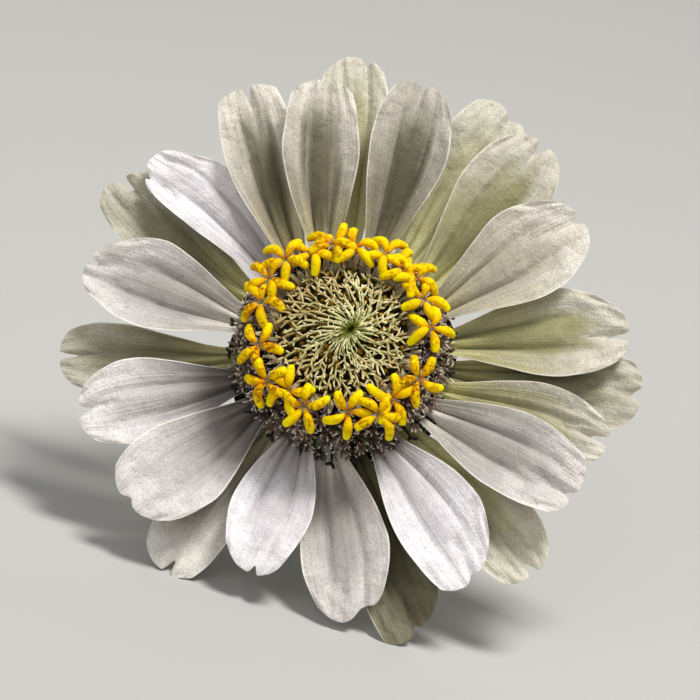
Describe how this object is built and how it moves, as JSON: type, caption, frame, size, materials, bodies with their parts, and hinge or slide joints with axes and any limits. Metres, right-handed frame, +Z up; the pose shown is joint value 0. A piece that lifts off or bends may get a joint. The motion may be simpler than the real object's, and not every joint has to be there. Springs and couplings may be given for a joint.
{
  "type": "zinnia flower",
  "caption": "Single cut zinnia bloom lying on its stem: white notched ray petals in two layers, a ring of yellow star florets and a domed disc of fringed chaff.",
  "frame": {"origin": "on the ground under the middle of the whole flower's box", "axes": "+Z up, the bloom faces -Y and a little up, +Y runs back along the lying stem"},
  "size_m": [0.0692, 0.0752, 0.0576],
  "materials": {
    "ray_white": "matte",
    "ray_olive": "matte",
    "floret_yellow": "matte",
    "young_chaff": "matte",
    "spent_chaff": "matte",
    "bract": "matte",
    "stalk": "matte"
  },
  "bodies": {
    "root": {"ray_floret_01": "ray_olive", "ray_floret_02": "ray_white", "ray_floret_03": "ray_white", "ray_floret_04": "ray_white", "ray_floret_05": "ray_olive", "ray_floret_06": "ray_white", "ray_floret_07": "ray_olive", "ray_floret_08": "ray_white", "ray_floret_09": "ray_white", "ray_floret_10": "ray_olive", "ray_floret_11": "ray_white", "ray_floret_12": "ray_white", "ray_floret_13": "ray_olive", "ray_floret_14": "ray_white", "ray_floret_15": "ray_olive", "ray_floret_16": "ray_white", "ray_floret_17": "ray_white", "ray_floret_18": "ray_olive", "ray_floret_19": "ray_white", "ray_floret_20": "ray_white", "ray_floret_21": "ray_white", "ray_floret_22": "ray_olive", "ray_floret_23": "ray_white", "outer_chaff": "spent_chaff", "disc_florets": "floret_yellow", "inner_chaff": "young_chaff", "involucre": "bract", "stem": "stalk"}
  },
  "joints": []
}
